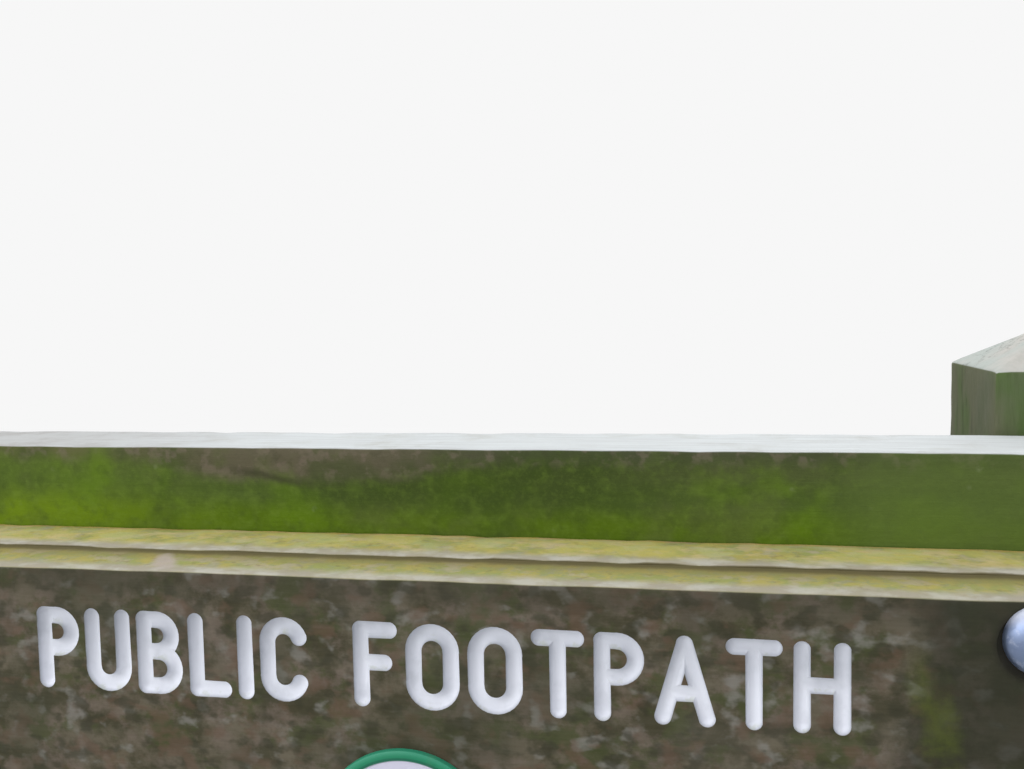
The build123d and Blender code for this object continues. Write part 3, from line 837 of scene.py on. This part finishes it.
# Posts with four-way weathered tops
CAP_RISE = 31 * MM
CAP_TIP = 9 * MM
for seed, name in enumerate(("hanging_post", "clapping_post"), start=51):
    low, high = boxes[name]
    eaves = Vector((high.x, high.y, high.z - CAP_RISE))
    bm = box_mesh(low, eaves)
    top = [face for face in bm.faces if face.normal.z > 0.5]
    inset = (high.x - low.x - CAP_TIP) / 2
    bmesh.ops.inset_region(bm, faces=top, thickness=inset, depth=CAP_RISE, use_even_offset=True)
    bm.normal_update()
    above_foot = [e for e in bm.edges if max(v.co.z for v in e.verts) > low.z + 10 * MM]
    take_off(bm, above_foot, 1.8 * MM)
    wear(bm, low, high, Z, seed, gnaw=1.6 * MM)
    piece(name, bm, [post_timber(f"{name}_timber", seed, low.z)], "posts", "post_timber", name)


# Name board with routed letters

CUTTER_FIRST = 5.0 * MM     # radius at the first letter
CUTTER_LAST = 4.2 * MM      # and where the text ends, as the cut gets shallower
TEXT_LENGTH = 12.0          # in cap heights
CAP_HEIGHT = 38 * MM        # of the letters' centre lines
CAP_DROP = 28.7 * MM        # board top to the capitals' upper centre line
LETTER_START = 162 * MM     # board's left end to the first centre line
LETTER_GAP = 0.355          # in cap heights
WORD_GAP = 0.92
RECESS_RADIUS = 17.8 * MM
RECESS_DEPTH = 2.5 * MM
RECESS_LEFT = 1.6 * MM      # each recess sits a little low and left of its bolt
RECESS_DOWN = 3.0 * MM

# Each letter: its width, its straight strokes and its arcs, in cap heights.
# A stroke is x, z, x, z. An arc is centre x, centre z, radius, start and end in degrees.
LETTERS = {
    "P": (0.45, [(0, 0, 0, 1), (0, 1, 0.2, 1), (0.2, 0.5, 0, 0.5)], [(0.2, 0.75, 0.25, -90, 90)]),
    "U": (0.5, [(0, 1, 0, 0.25), (0.5, 0.25, 0.5, 1)], [(0.25, 0.25, 0.25, 180, 360)]),
    "B": (
        0.48, [(0, 0, 0, 1), (0, 1, 0.2, 1), (0, 0.52, 0.22, 0.52), (0, 0, 0.22, 0)],
        [(0.2, 0.76, 0.24, -90, 90), (0.22, 0.26, 0.26, -90, 90)],
    ),
    "L": (0.42, [(0, 1, 0, 0), (0, 0, 0.42, 0)], []),
    "I": (0.0, [(0, 0, 0, 1)], []),
    "C": (0.5, [(0, 0.75, 0, 0.25)], [(0.25, 0.75, 0.25, 20, 180), (0.25, 0.25, 0.25, 180, 340)]),
    "F": (0.42, [(0, 0, 0, 1), (0, 1, 0.42, 1), (0, 0.53, 0.34, 0.53)], []),
    "O": (
        0.54, [(0, 0.73, 0, 0.27), (0.54, 0.27, 0.54, 0.73)],
        [(0.27, 0.73, 0.27, 0, 180), (0.27, 0.27, 0.27, 180, 360)],
    ),
    "T": (0.5, [(0, 1, 0.5, 1), (0.25, 1, 0.25, 0)], []),
    "A": (0.58, [(0, 0, 0.29, 1), (0.29, 1, 0.58, 0), (0.1, 0.33, 0.48, 0.33)], []),
    "H": (0.5, [(0, 0, 0, 1), (0.5, 0, 0.5, 1), (0, 0.53, 0.5, 0.53)], []),
}
WORDS = ("PUBLIC", "FOOTPATH")


def on_face(x, z):
    """A point on the board's face, from letter units measured from the first letter's foot."""
    return Vector((
        board_low.x + LETTER_START + x * CAP_HEIGHT,
        board_low.y,
        board_high.z - CAP_DROP - CAP_HEIGHT + z * CAP_HEIGHT,
    ))


def ball(bm, radius):
    """The cutter's round nose."""
    return bmesh.ops.create_uvsphere(bm, u_segments=20, v_segments=12, radius=radius)["verts"]


def straight_stroke(bm, start, end, cutter):
    """A round-ended cutter path from start to end."""
    made = ball(bm, cutter)
    ahead = [vert for vert in made if vert.co.z > 1e-6]
    run = end - start
    bmesh.ops.translate(bm, verts=ahead, vec=(0, 0, run.length))
    turn = Vector((0, 0, 1)).rotation_difference(run).to_matrix()
    bmesh.ops.rotate(bm, verts=made, matrix=turn)
    bmesh.ops.translate(bm, verts=made, vec=start)


def arc_stroke(bm, centre, radius, start, end, cutter):
    """A round cutter path along an arc on the board's face, with round ends."""
    ring = bmesh.ops.create_circle(bm, segments=20, radius=cutter)["verts"]
    bmesh.ops.translate(bm, verts=ring, vec=(radius, 0, 0))
    before = set(bm.verts) - set(ring)
    edges = list({edge for vert in ring for edge in vert.link_edges})
    bmesh.ops.spin(
        bm, geom=ring + edges, cent=(0, 0, 0), axis=(0, -1, 0),
        angle=math.radians(end - start), steps=max(6, round((end - start) / 12)), use_duplicate=False,
    )
    made = [vert for vert in bm.verts if vert not in before]
    bmesh.ops.holes_fill(bm, edges=list({e for vert in made for e in vert.link_edges if e.is_boundary}))
    bmesh.ops.rotate(bm, verts=made, matrix=Matrix.Rotation(math.radians(-start), 3, "Y"))
    bmesh.ops.translate(bm, verts=made, vec=centre)
    for angle in (start, end):
        tip = Vector((math.cos(math.radians(angle)), 0, math.sin(math.radians(angle)))) * radius
        bmesh.ops.translate(bm, verts=ball(bm, cutter * 0.999), vec=centre + tip)


def apply_modifiers(made):
    """Swap the piece's mesh for its mesh with all modifiers applied."""
    graph = bpy.context.evaluated_depsgraph_get()
    mesh = bpy.data.meshes.new_from_object(made.evaluated_get(graph))
    made.modifiers.clear()
    made.data = mesh


letters = bmesh.new()
pen = 0.0
for word in WORDS:
    for letter in word:
        width, strokes, arcs = LETTERS[letter]
        cutter = CUTTER_FIRST + (CUTTER_LAST - CUTTER_FIRST) * pen / TEXT_LENGTH
        for x0, z0, x1, z1 in strokes:
            straight_stroke(letters, on_face(pen + x0, z0), on_face(pen + x1, z1), cutter)
        for x, z, radius, start, end in arcs:
            arc_stroke(letters, on_face(pen + x, z), radius * CAP_HEIGHT, start, end, cutter)
        pen += width + LETTER_GAP
    pen += WORD_GAP - LETTER_GAP
for face in letters.faces:
    face.material_index = 1

sign_bolts = [f"sign_bolt_{level}_{side}" for level in ("lower", "upper") for side in ("left", "right")]
for name in sign_bolts:
    centre = (boxes[name][0] + boxes[name][1]) / 2
    made = bmesh.ops.create_uvsphere(letters, u_segments=40, v_segments=16, radius=1.0)["verts"]
    bmesh.ops.scale(letters, verts=made, vec=(RECESS_RADIUS, RECESS_DEPTH, RECESS_RADIUS))
    place = (centre.x - RECESS_LEFT, board_low.y, centre.z - RECESS_DOWN)
    bmesh.ops.translate(letters, verts=made, vec=place)
bmesh.ops.recalc_face_normals(letters, faces=letters.faces)

right_bolt = (boxes["sign_bolt_upper_right"][0] + boxes["sign_bolt_upper_right"][1]) / 2
board_middle = (board_low + board_high) / 2
sign_wood = sign_timber(
    board_low, board_high, right_bolt.x - board_middle.x, right_bolt.z - board_middle.z,
)
paint = groove_paint("groove_paint", board_low.y, on_face(0, 0).z, CAP_HEIGHT)
sign = timber_piece(
    "sign_board", boxes["sign_board"], X, sign_wood, 61, "board_timber",
    hollow=0.5 * MM, gnaw=1.8 * MM, back_arris=5 * MM,
)
sign.data.materials.append(paint)
cutter_mesh = mesh_of("letter_cutter", letters)
for material in (sign_wood, paint):
    cutter_mesh.materials.append(material)
routed = placed("letter_cutter", cutter_mesh)
routing = sign.modifiers.new("routing", "BOOLEAN")
routing.object = routed
routing.operation = "DIFFERENCE"
routing.solver = "EXACT"
routing.use_self = True
bpy.context.view_layer.update()
apply_modifiers(sign)
bpy.data.objects.remove(routed)
sign.data.set_sharp_from_angle(angle=SHARP)


# Waymark disc

def lathe(outline, centre, steps):
    """Turn an outline of (radius, depth) points about a level axis along Y through centre."""
    bm = bmesh.new()
    row = [bm.verts.new((radius, depth, 0)) for radius, depth in outline]
    edges = [bm.edges.new(pair) for pair in zip(row, row[1:])]
    bmesh.ops.spin(
        bm, geom=row + edges, cent=(0, 0, 0), axis=(0, 1, 0), angle=math.tau,
        steps=steps, use_merge=True, use_duplicate=False,
    )
    bmesh.ops.remove_doubles(bm, verts=bm.verts, dist=1e-6)
    bmesh.ops.recalc_face_normals(bm, faces=bm.faces)
    bmesh.ops.translate(bm, verts=bm.verts, vec=centre)
    return bm


low, high = boxes["waymark_disc"]
disc_centre = (low + high) / 2
disc_radius = (high.x - low.x) / 2
thick = high.y - low.y
disc_outline = [
    (0.0, -thick + 0.6 * MM), (disc_radius - 6 * MM, -thick + 0.6 * MM),
    (disc_radius - 5.4 * MM, -thick), (disc_radius - 1.0 * MM, -thick),
    (disc_radius - 0.2 * MM, -thick + 0.5 * MM), (disc_radius, -thick + 1.1 * MM),
    (disc_radius, 0.0), (0.0, 0.0),
]
disc = lathe(disc_outline, Vector((disc_centre.x, board_low.y, disc_centre.z)), 96)
plastic = disc_plastic("disc_plastic", disc_centre, disc_radius)
piece("waymark_disc", disc, [plastic], "leaf", "disc_plastic", "waymark_disc")


# Ironmongery

DOME_STEPS = 9
THREAD_PITCH = 1.5 * MM
THREAD_DEPTH = 0.7 * MM


def dome(radius, height):
    """From the crown of a domed head to its rim."""
    points = []
    for i in range(DOME_STEPS + 1):
        angle = math.radians(90 * i / DOME_STEPS)
        points.append((radius * math.sin(angle), -height * (0.12 + 0.88 * math.cos(angle))))
    return points


def threaded(radius, start, end):
    """Ridges of a screw thread from start to end."""
    points = []
    for i in range(int((end - start) / THREAD_PITCH)):
        points.append((radius, start + (i + 0.25) * THREAD_PITCH))
        points.append((radius - THREAD_DEPTH, start + (i + 0.75) * THREAD_PITCH))
    return points


def bolt(crown, face, head_radius, shank_radius, end, thread):
    """A domed bolt from the crown of its head, seated on a face, to the end of its thread."""
    outline = dome(head_radius, face - crown.y)
    outline += [(head_radius, 0.0), (shank_radius, 0.0)]
    outline += threaded(shank_radius, end - face - thread, end - face - 1 * MM)
    outline += [(shank_radius - 1 * MM, end - face), (0.0, end - face)]
    return lathe(outline, Vector((crown.x, face, crown.z)), 40)


zinc = galvanised("galvanised_bolts", 5, 1.0)
dull_zinc = galvanised("galvanised_steel", 6, 0.0)
for name in sign_bolts:
    low, high = boxes[name]
    crown = (low + high) / 2
    crown.y = low.y
    bm = bolt(crown, board_low.y, (high.x - low.x) / 2, 6 * MM, high.y, 30 * MM)
    piece(name, bm, [zinc], "leaf", "galvanised_steel", name)

# Each row: how many, along which axis, the face they seat on and the length of thread
bolt_rows = {
    "top_band_bolts": (3, X, boxes["top_band"][0].y, 28 * MM),
    "bottom_band_bolts": (2, X, boxes["bottom_band"][0].y, 28 * MM),
    "board_screws": (2, Z, boxes["backing_board"][0].y, 70 * MM),
}
for name, (count, axis, face, thread) in bolt_rows.items():
    low, high = boxes[name]
    head_radius = (high[2 - axis] - low[2 - axis]) / 2
    crown = (low + high) / 2
    crown.y = low.y
    row = bmesh.new()
    for i in range(count):
        share = i / (count - 1)
        crown[axis] = low[axis] + head_radius + share * (high[axis] - low[axis] - 2 * head_radius)
        one = bolt(crown, face, head_radius, 5 * MM, high.y, thread)
        mesh = mesh_of("bolt", one)
        row.from_mesh(mesh)
        bpy.data.meshes.remove(mesh)
    piece(name, row, [dull_zinc], "leaf", "galvanised_steel", name)


def softened(name, body, width):
    """The node's own shape with its sharp edges eased, as dipped steel has them."""
    bm = bmesh.new()
    bm.from_mesh(nodes[name].data)
    bmesh.ops.remove_doubles(bm, verts=bm.verts, dist=1e-6)
    bmesh.ops.dissolve_limit(bm, angle_limit=math.radians(1), verts=bm.verts, edges=bm.edges)
    bmesh.ops.recalc_face_normals(bm, faces=bm.faces)
    sharp = [e for e in bm.edges if len(e.link_faces) == 2 and e.calc_face_angle(0) > math.radians(35)]
    take_off(bm, sharp, width, 2)
    piece(name, bm, [dull_zinc], body, "galvanised_steel", name)


for name in ("top_band", "bottom_band"):
    softened(name, "leaf", 1.0 * MM)
for name in ("sign_nuts", "top_band_nuts", "bottom_band_nuts"):
    softened(name, "leaf", 0.5 * MM)
for name in ("top_hook", "bottom_hook", "top_hook_nut", "bottom_hook_nut"):
    softened(name, "posts", 0.8 * MM)


# Stage, lights and camera

PALE = (0.93, 0.93, 0.93, 1.0)              # what is seen behind the gate
SKY = (0.95, 0.98, 1.0, 1.0)                # what lights it from all round
SKY_STRENGTH = 0.48
PAPER = (0.72, 0.72, 0.71)

world = bpy.data.worlds.new("studio")
bpy.context.scene.world = world
world.use_nodes = True
studio = Nodes(world.node_tree)
studio.tree.nodes.clear()
soft = studio.node("ShaderNodeBackground", {}, SKY, SKY_STRENGTH)
pale = studio.node("ShaderNodeBackground", {}, PALE, 1.0)
around = studio.node("ShaderNodeMixShader", {}, studio.seen(), soft, pale)
studio.raw("ShaderNodeOutputWorld", {}, around)

FLOOR_RADIUS = 5.0
FADE_START, FADE_END = 2.0, 4.5             # where the floor melts into what is behind it
floor_bench = Bench("floor_paper")
distance = floor_bench.x.hypot(floor_bench.y)
fade = distance.step(FADE_START, FADE_END) * floor_bench.seen()
floor_bench.set(Base_Color=PAPER, Roughness=0.9)
paper = Wire(floor_bench, floor_bench.shader.outputs[0])
glow = floor_bench.node("ShaderNodeEmission", {}, PALE, 1.0)
blend = floor_bench.node("ShaderNodeMixShader", {}, fade, paper, glow)
output = next(n for n in floor_bench.tree.nodes if n.type == "OUTPUT_MATERIAL")
floor_bench.tree.links.new(blend.socket, output.inputs["Surface"])
bm = bmesh.new()
bmesh.ops.create_circle(bm, cap_ends=True, segments=96, radius=FLOOR_RADIUS)
floor_mesh = mesh_of("floor", bm)
floor_mesh.materials.append(floor_bench.material)
placed("floor", floor_mesh)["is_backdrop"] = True


def lamp(name, place, target, size, power):
    """A square lamp at a place, turned to its target."""
    data = bpy.data.lights.new(name, "AREA")
    data.shape = "SQUARE"
    data.size = size
    data.energy = power
    aim = (Vector(target) - Vector(place)).to_track_quat("-Z", "Y").to_matrix().to_4x4()
    placed(name, data).matrix_world = Matrix.Translation(place) @ aim


lamp("sky_lamp", (0.6, -0.3, 4.2), (0.6, -0.1, 1.0), 3.0, 50.0)
lamp("front_lamp", (-1.2, -3.2, 2.6), (0.6, -0.1, 0.9), 2.5, 78.0)
lamp("back_lamp", (1.8, 3.2, 2.4), (0.6, 0.0, 0.8), 2.5, 56.0)

# The camera stands where the photograph's vanishing points put it
CAMERA_PLACE = (0.8803, -0.7364, 1.2847)
CAMERA_TURN = math.radians(11.43)
CAMERA_DIP = math.radians(4.26)
CAMERA_ROLL = math.radians(-1.18)
CAMERA_LENS = 34.41                         # millimetres, on a 36 mm sensor

camera_data = bpy.data.cameras.new("view")
camera_data.lens = CAMERA_LENS
camera_data.sensor_width = 36.0
camera_data.clip_start = 0.01
camera = placed("view", camera_data)
camera.matrix_world = (
    Matrix.Translation(CAMERA_PLACE)
    @ Matrix.Rotation(CAMERA_TURN, 4, "Z")
    @ Matrix.Rotation(math.pi / 2 - CAMERA_DIP, 4, "X")
    @ Matrix.Rotation(CAMERA_ROLL, 4, "Z")
)
bpy.context.scene.camera = camera

bpy.context.scene.view_settings.view_transform = "Standard"

low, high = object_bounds()
